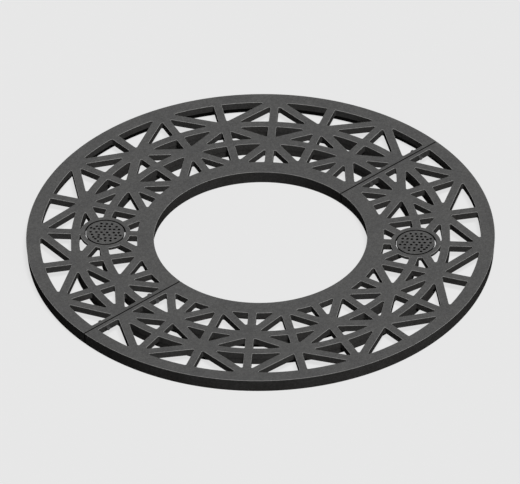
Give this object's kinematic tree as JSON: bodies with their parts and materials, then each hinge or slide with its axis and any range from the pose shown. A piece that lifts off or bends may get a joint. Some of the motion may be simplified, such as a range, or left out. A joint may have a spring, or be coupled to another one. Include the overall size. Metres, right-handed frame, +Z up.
{
  "type": "tree grate",
  "caption": "Round cast iron tree grate in two halves bolted across a straight joint, with a star lattice of ribs, a central tree opening and lift-out perforated watering covers.",
  "frame": {"origin": "on the tree's axis, at the level of the undersides of the rims", "axes": "+Z up, the joint between the halves lies along X, and the bolts point along +Y from the front half to the back half"},
  "size_m": [1.5, 1.5, 0.045],
  "materials": {
    "casting": "dark grey cast iron with a fine sand-cast grain, matt",
    "cover": "dark grey cast iron, matt, the same colour as the castings",
    "fastener": "dark grey steel, dull"
  },
  "bodies": {
    "grate": {"back_half_casting": "casting", "front_half_casting": "casting", "bolt_right_outer": "fastener", "bolt_left_outer": "fastener", "bolt_right_inner": "fastener", "bolt_left_inner": "fastener", "head_washer_right_outer": "fastener", "head_washer_left_outer": "fastener", "head_washer_right_inner": "fastener", "head_washer_left_inner": "fastener", "nut_washer_right_outer": "fastener", "nut_washer_left_outer": "fastener", "nut_washer_right_inner": "fastener", "nut_washer_left_inner": "fastener", "nut_right_outer": "fastener", "nut_left_outer": "fastener", "nut_right_inner": "fastener", "nut_left_inner": "fastener"},
    "back_cover": {"back_watering_cover": "cover"},
    "front_cover": {"front_watering_cover": "cover"}
  },
  "joints": [
    {"name": "back_cover_lift", "type": "slide", "parent": "grate", "child": "back_cover", "axis": [0, 0, 1], "range_m": [0, 0.06]},
    {"name": "front_cover_lift", "type": "slide", "parent": "grate", "child": "front_cover", "axis": [0, 0, 1], "range_m": [0, 0.06]}
  ]
}
